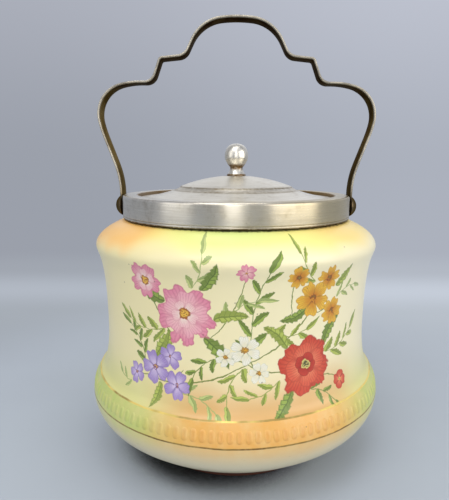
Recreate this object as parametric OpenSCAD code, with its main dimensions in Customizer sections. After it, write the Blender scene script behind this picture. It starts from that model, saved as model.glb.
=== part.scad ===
// Biscuit barrel: a waisted earthenware jar with a plated rim collar, a lift-off
// domed lid with an egg-shaped finial, and a bow-shaped strap bail on domed rivets.
// Millimetres. +Z up, origin on the table under the jar's axis, front towards -Y.

/* [Jar body] */
// Widest diameter of the jar, at the lower gilt line
belly_d = 150; // [140:1:164]
// Height of the widest line
belly_z = 32.5; // [30:0.5:38]
// Radius of the round belly where it turns under
belly_round = 19; // [14:1:22]
// Radius of the long curve from the belly down to the foot
underside_round = 180; // [120:5:240]
// Diameter at the upper edge of the embossed band
band_top_d = 143; // [138:0.5:146]
// Height of the embossed band, from the widest line up
band_h = 9.8; // [8:0.2:12]
// How far the band bulges outside a straight line
band_bulge = 0.5; // [0.2:0.1:1]
// Height of the embossed row along the band
row_h = 5.2; // [4:0.1:6]
// Height of that row's lower edge above the widest line
row_up = 1.7; // [1.2:0.1:2.5]
// How far the row stands out
row_rise = 0.4; // [0.2:0.05:0.6]
// Height of the tight curve from the band's upper edge into the side
flare_h = 3.7; // [2.5:0.1:6]
// How far the side draws in over that curve
flare_in = 2.8; // [2:0.1:3.4]
// Diameter of the waist
waist_d = 132.8; // [126:0.2:137]
// Height of the waist above the table
waist_z = 66; // [60:1:74]
// Diameter at the shoulder
shoulder_d = 142; // [136:1:150]
// Height of the shoulder above the table
shoulder_z = 105.5; // [100:0.5:108]
// Height where the shoulder meets the neck
neck_z = 118.6; // [116:0.2:126]
// Thickness of the side wall
wall = 4.2; // [3:0.2:6]
// Thickness of the neck's wall
neck_wall = 3.9; // [3:0.1:5]
// Thickness of the floor
floor_t = 5; // [4:0.5:8]

/* [Foot ring] */
// Outer diameter of the foot ring
foot_d = 92; // [84:1:100]
// Width of the face that the jar stands on
foot_w = 5; // [3.5:0.5:8]
// Depth of the hollow inside the foot ring
foot_recess = 2; // [1:0.5:3]

/* [Rim collar] */
// Outer diameter of the collar
collar_d = 114.8; // [110:0.2:122]
// Height of the collar's skirt
collar_h = 11.1; // [10:0.1:15]
// Thickness of the plated sheet
collar_sheet = 0.9; // [0.7:0.1:1.2]
// Radius of the collar's rounded upper edge
collar_edge = 1.5; // [1.3:0.1:2.4]
// Gap between the shoulder and the collar's lower edge
collar_lift = 0.3; // [0.1:0.1:1]
// Thickness of the plaster between the neck and the collar
bedding_t = 1.3; // [1.2:0.1:2.5]
// Thickness of the plaster over the jar's lip
lip_bed = 0.6; // [0.4:0.1:1.5]
// Depth of the lid's seat below the collar's top
seat_drop = 2.5; // [2:0.1:4]
// Width of the seat that the lid's brim rests on
seat_w = 3.1; // [2:0.1:4.5]
// Height of the hem line above the collar's lower edge
hem_h = 1.2; // [0.8:0.1:2]

/* [Lid] */
// Thickness of the lid's sheet
lid_sheet = 0.8; // [0.6:0.1:1.2]
// Diameter of the dome's crisp edge
dome_d = 56.6; // [48:0.2:62]
// Rise of the dome above its edge
dome_rise = 5.3; // [4:0.1:8]
// Width of the step round the dome
step_w = 3.2; // [2:0.1:5]
// Height of the step round the dome
step_h = 1.9; // [1:0.1:3]
// Rise of the brim from the rim to the step
brim_rise = 3.8; // [3:0.1:6]
// Width of the flat rim that rests on the seat
rim_w = 1.8; // [1.2:0.1:2.4]
// Depth of the locating ring under the brim
bezel_h = 6; // [4:0.5:10]
// Thickness of the locating ring
bezel_sheet = 0.8; // [0.6:0.1:1.2]

/* [Finial] */
// Largest diameter of the bud
bud_d = 12; // [10:0.2:16]
// Height of the bud
bud_h = 12; // [9:0.2:14]
// Height of the bud's widest line above its lower end
bud_belly = 5.2; // [4:0.2:6]
// Diameter of the finial's neck
finial_neck_d = 6.3; // [4.2:0.1:7]
// Diameter of the finial's flared foot
finial_foot_d = 9.6; // [8:0.1:12]
// Height of the flared foot
finial_foot_h = 4; // [3.5:0.1:7]
// Diameter of the stud through the lid
finial_stud_d = 3; // [2.5:0.1:4]
// Width of the square nut across its flats
nut_w = 6.5; // [5.5:0.1:9]
// Thickness of the nut
nut_t = 2; // [1.5:0.1:3]
// Diameter of the washer under the lid
washer_d = 9; // [8:0.2:12]
// Thickness of the washer
washer_t = 0.8; // [0.5:0.1:1.5]

/* [Bail] */
// Width of the strap
strap_w = 10.4; // [8:0.2:10.8]
// Thickness of the strap
strap_t = 0.9; // [0.7:0.1:1.5]
// Straight run of each leg above its rivet
leg_run = 6; // [5:0.5:12]
// Outward lean of each leg, in degrees
leg_lean = 20; // [14:1:24]
// Straight run of the leaning leg
lean_run = 14.5; // [10:0.5:22]
// Radius of the big upper bend
upper_bend = 15; // [13:0.5:17]
// Radius of the inside corner where the leg turns up to the ledge
inner_bend = 5.5; // [4:0.5:7]
// Straight rise up to the ledge
ledge_rise = 7; // [5:0.5:12]
// Radius of the ledge's crisp corner
ledge_corner = 1.8; // [1.6:0.1:3]
// Radius of the inside corner under the arch
arch_foot = 6; // [4:0.5:7]
// Straight rise up to the arch
arch_rise = 4.5; // [2:0.5:10]
// Radius of the arch's shoulders
arch_bend = 18.5; // [17:0.5:20]
// Radius of the arch's flat crown
arch_crown = 66; // [50:1:80]

/* [Rivets] */
// Height of the rivets above the collar's lower edge
pivot_up = 5.1; // [4.8:0.1:5.6]
// Diameter of the rivet's shank
rivet_d = 4; // [3:0.1:4.6]
// Diameter of the domed head
head_d = 10.6; // [8.5:0.1:11]
// Height of the domed head
head_h = 3.3; // [2.4:0.1:4]
// Diameter of the rivet's closed tail
tail_d = 5.8; // [5.2:0.1:6.4]
// Thickness of the pad between the collar and the strap
boss_t = 0.55; // [0.4:0.05:1.5]
// Diameter of that pad
boss_d = 8.4; // [7:0.1:9.4]

/* [Clearances] */
// Gap at each side of the strap, against the pad and under the rivet's head
running_gap = 0.1; // [0.05:0.01:0.15]
// Radial gap round the rivet in the strap's eye
eye_gap = 0.05; // [0.02:0.01:0.1]
// Gap between pieces that are bedded or fastened together
bed_gap = 0.05; // [0.02:0.01:0.1]
// Gap between the lid's rim and the seat
seat_gap = 0.1; // [0.05:0.05:0.3]
// Radial gap between the lid and the collar
lid_gap = 0.7; // [0.4:0.1:1.2]

/* [Hidden] */

$fn = 96;

// Jar: radii and heights
belly_r = belly_d / 2;
foot_r = foot_d / 2;
band_top_r = band_top_d / 2;
band_top_z = belly_z + band_h;
collar_r = collar_d / 2;
skirt_in_r = collar_r - collar_sheet;
neck_r = skirt_in_r - bedding_t;
neck_in_r = neck_r - neck_wall;
collar_z = neck_z + collar_lift;
collar_top = collar_z + collar_h;
lip_z = collar_top - collar_sheet - lip_bed;
floor_z = foot_recess + floor_t;
turn_angle = 51;          // where the belly's round meets the long curve below it
lip_chamfer = 0.8;
foot_chamfer = 0.6;
flare_lean = 0.29;        // how fast the side still draws in above the tight curve
shoulder_edge = 0.5;      // upright edge of the shoulder
shoulder_drop = 0.3;      // how far the inner corners sit lower, as a share of the wall

// Collar: the opening that the lid drops into
hook_gap = 0.4;           // between the jar's lip and the collar's inner wall
opening_r = neck_in_r - hook_gap - collar_sheet;
seat_in_r = opening_r - seat_w;
seat_z = collar_top - seat_drop;
opening_edge = 0.5;
hem_groove = [0.3, 0.25]; // width and depth of the scribed hem line

// Lid: radii and heights of the outer face
rim_r = opening_r - lid_gap;
rim_under_z = seat_z + seat_gap;
rim_z = rim_under_z + lid_sheet;
dome_r = dome_d / 2;
step_r = dome_r + step_w;
step_z = rim_z + brim_rise;
dome_z = step_z + step_h;
lid_top = dome_z + dome_rise;
bezel_r = seat_in_r - lid_gap;
step_sag = 0.12;          // hollow of the step and the brim, as shares of their rise
brim_sag = 0.12;
washer_top = lid_top - lid_sheet - dome_fall(washer_d / 2) - bed_gap;
nut_top = washer_top - washer_t - bed_gap;

// Rivets and bail
pivot_z = collar_z + pivot_up;
boss_x = collar_r + boss_t;
strap_in_x = boss_x + running_gap;
strap_x = strap_in_x + strap_t / 2;
head_x = strap_in_x + strap_t + running_gap;
rivet_r = rivet_d / 2;
tail_t = 0.9;
tail_x = sqrt(pow(skirt_in_r - bed_gap, 2) - pow(tail_d / 2, 2)) - 0.05;
pocket_r = tail_d / 2 + 0.4;

// ---- outline helpers: points are [radius, height] ----

function arc_points(c, r, from, to, n = 8) =
    [for (i = [0:n]) let (a = from + (to - from) * i / n) c + r * [cos(a), sin(a)]];

function curve_points(p, n = 12) =
    [for (i = [0:n]) let (t = i / n, s = 1 - t)
        s*s*s * p[0] + 3*s*s*t * p[1] + 3*s*t*t * p[2] + t*t*t * p[3]];

// A curve from one point to another that bulges by h to the left of the chord
function bulge_points(p, q, h, n = 6) =
    let (d = q - p, l = norm(d), side = [-d.y, d.x] / l)
    [for (i = [0:n]) let (t = i / n) p + t * d + 4 * h * t * (1 - t) * side];

// ---- jar body ----

// Side of the jar from the long underside curve up to the lip, set in by "inset"
function underside(inset) =
    let (c = [belly_r - belly_round, belly_z],
         far = c + (underside_round - belly_round) * [-cos(turn_angle), sin(turn_angle)],
         r = underside_round - inset,
         start = inset == 0 ? -acos((foot_r - far.x) / r) : -asin((far.y - floor_z) / r))
    concat(arc_points(far, r, start, -turn_angle, 10),
           arc_points(c, belly_round - inset, -turn_angle + 6, 0, 8));

// The embossed band from its upper edge down to the widest line; outside it carries a
// raised row with a rounded section
function band(inset) =
    let (p = [band_top_r - inset, band_top_z], q = [belly_r - inset, belly_z], d = q - p,
         side = [-d.y, d.x] / norm(d), middle = 1 - (row_up + row_h / 2) / band_h,
         half = row_h / 2 / band_h,
         steps = inset == 0 ? concat([0, (middle - half) / 2], [for (a = [0:22.5:180]) middle - half * cos(a)],
                                     [(1 + middle + half) / 2, 1])
                            : [0, 0.25, 0.5, 0.75, 1])
    [for (t = steps)
        let (u = (t - middle) / half, rise = inset == 0 && abs(u) < 1 ? row_rise * sqrt(1 - u * u) : 0)
        p + t * d + (4 * band_bulge * t * (1 - t) + rise) * side];

function waist(inset) =
    let (w = waist_d / 2 - inset, low = band_top_r - inset, high = shoulder_d / 2 - inset,
         drop = inset * shoulder_drop, lean = [-flare_lean, 1],
         q = [low - flare_in, band_top_z + flare_h],
         under = shoulder_z - drop)
    concat(
        curve_points([[low, band_top_z], [low - flare_in * 0.46, band_top_z + flare_h * 0.16],
                      q - flare_h * 0.46 * lean, q], 8),
        curve_points([q, q + (waist_z - q.y) * 0.25 * lean, [w, waist_z - (waist_z - q.y) * 0.45],
                      [w, waist_z]]),
        curve_points([[w, waist_z], [w, waist_z + (under - waist_z) * 0.48],
                      [w + (high - w) * 0.24, under - (under - waist_z) * 0.15], [high, under]]));

// Shoulder from its edge up to the neck
function shoulder(inset) =
    let (s = shoulder_d / 2 - inset, n = inset == 0 ? neck_r : neck_in_r,
         z = shoulder_z + shoulder_edge - inset * shoulder_drop, top = neck_z - inset * 0.8)
    curve_points([[s, z], [s - (s - n) * 0.03, z + (top - z) * 0.44],
                  [n + (s - n) * 0.58, top - (top - z) * 0.29], [n, top]]);

function reversed(p) = [for (i = [len(p) - 1:-1:0]) p[i]];

function side(inset) =
    concat(underside(inset), reversed(band(inset)), waist(inset), shoulder(inset));

module jar_body() {
    color([0.96, 0.93, 0.80])
    rotate_extrude()
    polygon(concat(
        [[0, foot_recess], [foot_r - foot_w, foot_recess], [foot_r - foot_w, 0],
         [foot_r - foot_chamfer, 0], [foot_r, foot_chamfer]],
        side(0),
        [[neck_r, lip_z - lip_chamfer], [neck_r - lip_chamfer, lip_z],
         [neck_in_r + lip_chamfer, lip_z], [neck_in_r, lip_z - lip_chamfer]],
        reversed(side(wall)),
        [[0, floor_z]]));
}

// ---- rim collar ----

module collar_outline() {
    groove_z = collar_z + hem_h;
    groove_w = hem_groove[0];
    groove_d = hem_groove[1];
    inner_edge = collar_edge - collar_sheet;
    polygon(concat(
        [[skirt_in_r, collar_z], [collar_r, collar_z],
         [collar_r, groove_z - groove_w / 2], [collar_r - groove_d, groove_z],
         [collar_r, groove_z + groove_w / 2]],
        arc_points([collar_r - collar_edge, collar_top - collar_edge], collar_edge, 0, 90),
        arc_points([opening_r + opening_edge, collar_top - opening_edge], opening_edge, 90, 180, 4),
        [[opening_r, seat_z], [seat_in_r, seat_z], [seat_in_r, seat_z - collar_sheet],
         [opening_r + collar_sheet, seat_z - collar_sheet],
         [opening_r + collar_sheet, collar_top - collar_sheet]],
        arc_points([collar_r - collar_edge, collar_top - collar_edge], inner_edge, 90, 0, 4)));
}

module collar_band() {
    color([0.78, 0.77, 0.73])
    difference() {
        rotate_extrude() collar_outline();
        both_sides() at_rivet(neck_r) cylinder(r = rivet_r + bed_gap, h = collar_r - neck_r + 1);
    }
}

module collar_bedding() {
    out_r = skirt_in_r - bed_gap;
    in_r = neck_r + bed_gap;
    top = collar_top - collar_sheet - bed_gap;
    corner = collar_edge - collar_sheet + 0.3;
    color([0.86, 0.84, 0.78])
    difference() {
        rotate_extrude()
        polygon([[in_r, collar_z + 0.8], [out_r, collar_z + 0.8], [out_r, top - corner],
                 [out_r - corner, top], [neck_in_r + lip_chamfer, top],
                 [neck_in_r + lip_chamfer, lip_z + bed_gap],
                 [in_r - lip_chamfer, lip_z + bed_gap], [in_r, lip_z - lip_chamfer + bed_gap]]);
        both_sides() at_rivet(neck_r - 1) cylinder(r = pocket_r, h = collar_r - neck_r + 1);
    }
}

// ---- rivets: drawn on the +X side, mirrored to the other ----

module both_sides() {
    children();
    mirror([1, 0, 0]) children();
}

// Lays a child that stands on z = 0 along the rivets' axis, starting at x
module at_rivet(x) {
    translate([x, 0, pivot_z]) rotate([0, 90, 0]) children();
}

module pivot_boss() {
    color([0.70, 0.68, 0.62])
    difference() {
        at_rivet(skirt_in_r) cylinder(d = boss_d, h = boss_x - skirt_in_r);
        translate([0, 0, pivot_z - boss_d]) cylinder(r = collar_r + bed_gap, h = 2 * boss_d, $fn = 720);
        at_rivet(skirt_in_r - 1) cylinder(r = rivet_r + bed_gap, h = boss_x);
    }
}

module pivot_rivet() {
    head_curve = (pow(head_d / 2, 2) + pow(head_h, 2)) / (2 * head_h);
    head_angle = asin(head_d / 2 / head_curve);
    color([0.74, 0.71, 0.64])
    at_rivet(0)
    rotate_extrude()
    polygon(concat(
        [[0, tail_x - tail_t], [tail_d / 2 - 0.4, tail_x - tail_t], [tail_d / 2, tail_x - tail_t + 0.4],
         [tail_d / 2, tail_x], [rivet_r, tail_x], [rivet_r, head_x],
         [head_d / 2, head_x]],
        arc_points([0, head_x + head_h - head_curve], head_curve,
                   90 - head_angle, 90, 10)));
}

// ---- bail ----

// Each step of the strap is [length, 0] for a straight run or [radius, angle] for a
// bend; a positive angle turns towards the jar's axis. The two lists are the path from
// the rivet to the ledge and from the ledge to the crown.
leg_ease = 45;            // radius of the bend that starts the lean
over_bend = [50, 8];      // gentle start of the big upper bend
shelf_bend = [38, 15];    // its gentle end
shelf_run = 2;
ledge_up = 70;            // how steeply the strap turns up to the ledge
ledge_tilt = 6;           // upward slope of the ledge
arch_up = 64;             // how steeply the strap turns up to the arch
crown_angle = 6.5;

leg_path = [[leg_run, 0], [leg_ease, -leg_lean], [lean_run, 0], over_bend,
            [upper_bend, 90 + leg_lean - over_bend[1] - shelf_bend[1]], shelf_bend,
            [shelf_run, 0], [inner_bend, -ledge_up], [ledge_rise, 0],
            [ledge_corner, ledge_up - ledge_tilt]];
arch_path = [[arch_foot, -(arch_up - ledge_tilt)], [arch_rise, 0],
             [arch_bend, arch_up - crown_angle], [arch_crown, crown_angle]];

// Where a path ends: [along its first heading, to its left], starting at heading h
function path_end(steps, h = 0, i = 0) =
    i == len(steps) ? [0, 0]
    : let (l = steps[i][0], a = steps[i][1], s = sign(a),
           move = a == 0 ? l * [cos(h), sin(h)]
                         : s * l * [sin(h + a) - sin(h), cos(h) - cos(h + a)])
      move + path_end(steps, h + a, i + 1);

// The ledge is as long as it takes for the two halves to meet over the axis
leg_end = path_end(leg_path);
arch_end = path_end(arch_path, 90 - ledge_tilt);
ledge_run = (strap_x - leg_end.y - arch_end.y) / cos(ledge_tilt);
half_path = concat(leg_path, [[ledge_run, 0]], arch_path);

// Points along a path, "off" to the left of its middle, bends in steps of about 6 degrees
function path_points(steps, off, p = [0, 0], h = 0, i = 0) =
    i == len(steps) ? [p + off * [-sin(h), cos(h)]]
    : let (l = steps[i][0], a = steps[i][1], s = sign(a), n = max(2, ceil(abs(a) / 6)),
           centre = p + l * s * [-sin(h), cos(h)],
           next = a == 0 ? p + l * [cos(h), sin(h)] : centre + l * s * [sin(h + a), -cos(h + a)])
      concat(a == 0 ? [p + off * [-sin(h), cos(h)]]
                    : [for (k = [0:n - 1]) let (t = h + a * k / n)
                          centre + (l - s * off) * s * [sin(t), -cos(t)]],
             path_points(steps, off, next, h + a, i + 1));

// One face of the strap, from the right rivet over the crown to the left one
function strap_face(off) =
    let (right = [for (p = path_points(half_path, off)) [strap_x - p.y, p.x]])
    concat(right, [for (i = [len(right) - 2:-1:0]) [-right[i].x, right[i].y]]);

module bail_handle() {
    color([0.52, 0.47, 0.38])
    difference() {
        union() {
            translate([0, strap_w / 2, pivot_z]) rotate([90, 0, 0])
                linear_extrude(strap_w)
                polygon(concat(strap_face(-strap_t / 2), reversed(strap_face(strap_t / 2))));
            both_sides() at_rivet(strap_in_x) cylinder(d = strap_w, h = strap_t);
        }
        both_sides() at_rivet(strap_in_x - 1) cylinder(r = rivet_r + eye_gap, h = strap_t + 2);
    }
}

// ---- lid ----

function dome_radius(r, rise) = (r * r + rise * rise) / (2 * rise);

// How far the dome has fallen below its middle at radius r
function dome_fall(r) = let (big = dome_radius(dome_r, dome_rise)) big - sqrt(big * big - r * r);

// Height of the brim's underside at radius r, between the step and the rim's flat
function brim_under(r) =
    let (t = (rim_r - rim_w - r) / (rim_r - rim_w - step_r))
    rim_under_z + brim_rise * t * (1 - 4 * brim_sag * (1 - t));

// Outer face of the lid from the hole in its middle out to the rim; the inner face is
// the same outline lowered by the sheet
function lid_face(hole_r) =
    let (big = dome_radius(dome_r, dome_rise), c = [0, lid_top - big],
         from = acos(hole_r / big), to = acos(dome_r / big))
    concat(arc_points(c, big, from, to, 12),
           bulge_points([dome_r, dome_z], [step_r, step_z], -step_h * step_sag, 4),
           bulge_points([step_r, step_z], [rim_r - rim_w, rim_z], -brim_rise * brim_sag, 8));

module lid_shell() {
    hole_r = finial_stud_d / 2 + bed_gap;
    face = lid_face(hole_r);
    color([0.80, 0.79, 0.75])
    rotate_extrude()
    polygon(concat(face,
                   [[rim_r - 0.3, rim_z], [rim_r, rim_z - 0.3], [rim_r, rim_under_z]],
                   reversed([for (p = face) p - [0, lid_sheet]])));
}

module lid_bezel() {
    inner = bezel_r - bezel_sheet;
    low = rim_under_z - bezel_h;
    edge = 0.5;
    color([0.72, 0.71, 0.66])
    rotate_extrude()
    polygon([[inner, brim_under(inner) - bed_gap], [bezel_r, brim_under(bezel_r) - bed_gap],
             [bezel_r, low + edge], [bezel_r - edge * 0.6, low], [inner, low]]);
}

module finial() {
    base = lid_top + bed_gap;
    neck = base + finial_foot_h;
    belly = neck + bud_belly;
    top = neck + bud_h;
    bud_r = bud_d / 2;
    neck_r = finial_neck_d / 2;
    foot_r = finial_foot_d / 2;
    stud_r = finial_stud_d / 2;
    under = nut_top - nut_t;
    foot_fall = dome_fall(foot_r - 0.2);
    color([0.84, 0.82, 0.76])
    rotate_extrude()
    polygon(concat(
        [[0, under - 0.8], [stud_r - 0.4, under - 0.8], [stud_r, under - 0.4],
         [stud_r, base], [foot_r - 0.2, base - foot_fall], [foot_r, base + 0.2 - foot_fall],
         [foot_r, base + 0.5]],
        curve_points([[foot_r - 0.3, base + 0.6], [foot_r - 0.9, base + finial_foot_h * 0.4],
                      [neck_r + 0.1, neck - finial_foot_h * 0.35], [neck_r, neck - 0.3]], 8),
        curve_points([[neck_r + 0.1, neck + 0.1], [neck_r + (bud_r - neck_r) * 0.32, neck + bud_belly * 0.23],
                      [bud_r, belly - bud_belly * 0.34], [bud_r, belly]], 10),
        curve_points([[bud_r, belly], [bud_r, belly + (top - belly) * 0.6],
                      [bud_r * 0.7, top], [0, top]], 14)));
}

module finial_washer() {
    color([0.66, 0.62, 0.52])
    translate([0, 0, washer_top - washer_t])
    difference() {
        cylinder(d = washer_d, h = washer_t);
        translate([0, 0, -1]) cylinder(r = finial_stud_d / 2 + bed_gap, h = washer_t + 2);
    }
}

module finial_nut() {
    color([0.62, 0.55, 0.40])
    translate([0, 0, nut_top - nut_t])
    difference() {
        translate([-nut_w / 2, -nut_w / 2, 0]) cube([nut_w, nut_w, nut_t]);
        translate([0, 0, -1]) cylinder(r = finial_stud_d / 2 + bed_gap, h = nut_t + 2);
    }
}

jar_body();
collar_bedding();
collar_band();
mirror([1, 0, 0]) pivot_boss();  // pivot_boss_left
pivot_boss();  // pivot_boss_right
mirror([1, 0, 0]) pivot_rivet();  // pivot_rivet_left
pivot_rivet();  // pivot_rivet_right
bail_handle();
lid_shell();
lid_bezel();
finial();
finial_washer();
finial_nut();
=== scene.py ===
"""Looks for the biscuit jar: fine meshes, glaze, print, plated metal, light and camera.

Lengths in the tables are millimetres; MM turns them into metres when a mesh is made.
"""
import math
from functools import partialmethod

import bmesh
import bpy
from mathutils import Euler, Matrix, Quaternion, Vector

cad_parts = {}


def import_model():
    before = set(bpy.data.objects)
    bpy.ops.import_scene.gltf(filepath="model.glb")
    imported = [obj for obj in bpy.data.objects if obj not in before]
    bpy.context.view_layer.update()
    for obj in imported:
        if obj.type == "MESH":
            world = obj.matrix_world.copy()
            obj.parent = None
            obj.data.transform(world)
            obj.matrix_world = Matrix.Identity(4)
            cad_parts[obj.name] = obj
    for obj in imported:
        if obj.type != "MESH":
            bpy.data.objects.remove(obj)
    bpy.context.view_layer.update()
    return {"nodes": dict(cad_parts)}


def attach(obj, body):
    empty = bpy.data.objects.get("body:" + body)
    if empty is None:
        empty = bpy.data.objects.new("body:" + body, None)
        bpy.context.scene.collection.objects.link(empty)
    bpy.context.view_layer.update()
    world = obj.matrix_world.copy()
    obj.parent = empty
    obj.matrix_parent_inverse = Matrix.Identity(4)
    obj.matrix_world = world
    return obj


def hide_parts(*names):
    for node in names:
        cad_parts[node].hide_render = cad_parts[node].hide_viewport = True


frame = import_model()

MM = 0.001
TAU = 2 * math.pi
scene = bpy.context.scene

# ---- camera

PIXELS_HIGH, FOCAL_PIXELS, CENTRE_SHIFT = 500, 479.8, 11.4
CAMERA_BACK, CAMERA_UP = 0.250, 0.1455
CAMERA_DOWN, CAMERA_ROLL = 10.23, 0.33
camera_data = bpy.data.cameras.new("camera")
camera_data.sensor_width = 36
camera_data.lens = FOCAL_PIXELS / PIXELS_HIGH * camera_data.sensor_width
camera_data.shift_x = -CENTRE_SHIFT / PIXELS_HIGH
camera_data.clip_start = 0.01
camera_data.clip_end = 60
camera = bpy.data.objects.new("camera", camera_data)
scene.collection.objects.link(camera)
camera.location = (0, -CAMERA_BACK, CAMERA_UP)
camera.rotation_mode = "QUATERNION"
camera.rotation_quaternion = (
    Euler((math.radians(90 - CAMERA_DOWN), 0, 0)).to_quaternion()
    @ Quaternion((0, 0, 1), math.radians(CAMERA_ROLL))
)
scene.camera = camera

# ---- outlines (mm)


def arc_points(cx, cy, r, start, end, n):
    """Points on an arc, angles in degrees."""
    out = []
    for i in range(n + 1):
        a = math.radians(start + (end - start) * i / n)
        out.append((cx + r * math.cos(a), cy + r * math.sin(a)))
    return out


def curve_points(p, n):
    """Points on a cubic curve with four control points."""
    out = []
    for i in range(n + 1):
        t = i / n
        w = ((1 - t) ** 3, 3 * t * (1 - t) ** 2, 3 * t * t * (1 - t), t ** 3)
        out.append(tuple(sum(w[k] * p[k][j] for k in range(4)) for j in (0, 1)))
    return out


def bulge_points(p, q, h, n):
    """A shallow curve from p to q that stands h to the left of the chord."""
    dx, dy = q[0] - p[0], q[1] - p[1]
    length = math.hypot(dx, dy)
    out = []
    for i in range(n + 1):
        t = i / n
        k = 4 * h * t * (1 - t) / length
        out.append((p[0] + t * dx - k * dy, p[1] + t * dy + k * dx))
    return out


def soften(corners, steps=5):
    """Rounds a polyline's corners; each is (x, y) or (x, y, cut length)."""
    out = []
    n = len(corners)
    for i, c in enumerate(corners):
        cut = c[2] if len(c) > 2 else 0
        if not cut:
            out.append((c[0], c[1]))
            continue
        here = Vector(c[:2])
        before = Vector(corners[i - 1][:2]) - here
        after = Vector(corners[(i + 1) % n][:2]) - here
        a = here + before.normalized() * min(cut, before.length * 0.5)
        b = here + after.normalized() * min(cut, after.length * 0.5)
        for k in range(steps + 1):
            t = k / steps
            p = a * (1 - t) ** 2 + here * 2 * t * (1 - t) + b * t * t
            out.append((p.x, p.y))
    return out


def thinned(points, least=0.004):
    """Drops points that coincide with the one before."""
    out = [points[0]]
    for p in points[1:]:
        if math.hypot(p[0] - out[-1][0], p[1] - out[-1][1]) > least:
            out.append(p)
    return out


# ---- mesh building


def finished(name, bm, body, nodes=(), sharp=32):
    """Turns a bmesh into a piece that rides on a body."""
    bmesh.ops.recalc_face_normals(bm, faces=bm.faces)
    mesh = bpy.data.meshes.new(name)
    bm.to_mesh(mesh)
    bm.free()
    mesh.shade_smooth()
    mesh.set_sharp_from_angle(angle=math.radians(sharp))
    piece = bpy.data.objects.new(name, mesh)
    scene.collection.objects.link(piece)
    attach(piece, body)
    if nodes:
        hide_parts(*nodes)
    return piece


def revolved(outline, count, closed=True):
    """A bmesh from an outline of (radius, height) in mm, turned round the z axis."""
    bm = bmesh.new()
    rings = []
    for r, z in outline:
        if r < 1e-6:
            rings.append([bm.verts.new((0, 0, z * MM))])
        else:
            rings.append([
                bm.verts.new((r * MM * math.sin(TAU * k / count),
                              -r * MM * math.cos(TAU * k / count), z * MM))
                for k in range(count)])
    pairs = list(zip(rings, rings[1:]))
    if closed:
        pairs.append((rings[-1], rings[0]))
    for a, b in pairs:
        for k in range(count):
            m = (k + 1) % count
            if len(a) == 1 and len(b) == 1:
                break
            if len(a) == 1:
                bm.faces.new((a[0], b[m], b[k]))
            elif len(b) == 1:
                bm.faces.new((a[k], a[m], b[0]))
            else:
                bm.faces.new((a[k], a[m], b[m], b[k]))
    return bm


# ---- the jar's outline

BELLY_R, BELLY_Z, BELLY_ROUND = 75.0, 32.5, 19.0
UNDERSIDE_R, TURN = 180.0, 51.0
BAND_R, BAND_H, BAND_BULGE = 71.5, 9.8, 0.5
BAND_Z = BELLY_Z + BAND_H
FLARE_H, FLARE_IN, FLARE_LEAN = 3.7, 2.8, 0.29
WAIST_R, WAIST_Z = 66.4, 66.0
SHOULDER_R, SHOULDER_Z = 71.0, 105.5
NECK_R, NECK_IN_R, NECK_Z = 55.2, 51.3, 118.6
WALL, FLOOR_Z, LIP_Z = 4.2, 7.0, 128.5
FOOT_R, FOOT_IN_R, FOOT_RISE = 46.0, 41.0, 2.0
JAR_SIDES, METAL_SIDES, FINIAL_SIDES, RIVET_SIDES, FLOOR_SIDES = 320, 256, 128, 64, 48


def underside(inset, n):
    """From the foot up to the belly's widest point; inset is 0 outside, the wall inside."""
    cx = BELLY_R - BELLY_ROUND
    turn = math.radians(TURN)
    fx = cx - (UNDERSIDE_R - BELLY_ROUND) * math.cos(turn)
    fy = BELLY_Z + (UNDERSIDE_R - BELLY_ROUND) * math.sin(turn)
    r = UNDERSIDE_R - inset
    if inset:
        start = -math.degrees(math.asin((fy - FLOOR_Z) / r))
    else:
        start = -math.degrees(math.acos((FOOT_R - fx) / r))
    return (arc_points(fx, fy, r, start, -TURN, n)
            + arc_points(cx, BELLY_Z, BELLY_ROUND - inset, -TURN, 0, n)[1:])


def band_line(t):
    """Point on the embossed band's face and its outward direction, t from its top down."""
    dx, dy = BELLY_R - BAND_R, -BAND_H
    length = math.hypot(dx, dy)
    nx, ny = -dy / length, dx / length
    k = 4 * BAND_BULGE * t * (1 - t)
    return BAND_R + t * dx + k * nx, BAND_Z + t * dy + k * ny, nx, ny


def waist(inset, n):
    """From the band's top edge up to the shoulder's lower edge."""
    w, low, high = WAIST_R - inset, BAND_R - inset, SHOULDER_R - inset
    under = SHOULDER_Z - inset * 0.3
    qx, qy = low - FLARE_IN, BAND_Z + FLARE_H
    reach = FLARE_H * 0.46
    first = curve_points([(low, BAND_Z), (low - FLARE_IN * 0.46, BAND_Z + FLARE_H * 0.16),
                          (qx + reach * FLARE_LEAN, qy - reach), (qx, qy)], n)
    up = WAIST_Z - qy
    second = curve_points([(qx, qy), (qx - up * 0.25 * FLARE_LEAN, qy + up * 0.25),
                           (w, WAIST_Z - up * 0.45), (w, WAIST_Z)], n)
    rise = under - WAIST_Z
    third = curve_points([(w, WAIST_Z), (w, WAIST_Z + rise * 0.48),
                          (w + (high - w) * 0.24, under - rise * 0.15), (high, under)], n)
    return first + second[1:] + third[1:]


def shoulder(inset, n):
    """From the shoulder's lower edge up to the neck."""
    s, neck = SHOULDER_R - inset, NECK_IN_R if inset else NECK_R
    z, top = SHOULDER_Z + 0.5 - inset * 0.3, NECK_Z - inset * 0.8
    return curve_points([(s, z), (s - (s - neck) * 0.03, z + (top - z) * 0.44),
                         (neck + (s - neck) * 0.58, top - (top - z) * 0.29), (neck, top)], n)


def smoothed(points, low, high, rounds=3):
    """Averages neighbours between two indices, to ease a corner."""
    pts = list(points)
    for _ in range(rounds):
        new = list(pts)
        for i in range(max(1, low), min(len(pts) - 1, high)):
            new[i] = tuple((pts[i - 1][j] + 2 * pts[i][j] + pts[i + 1][j]) / 4 for j in (0, 1))
        pts = new
    return pts


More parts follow.
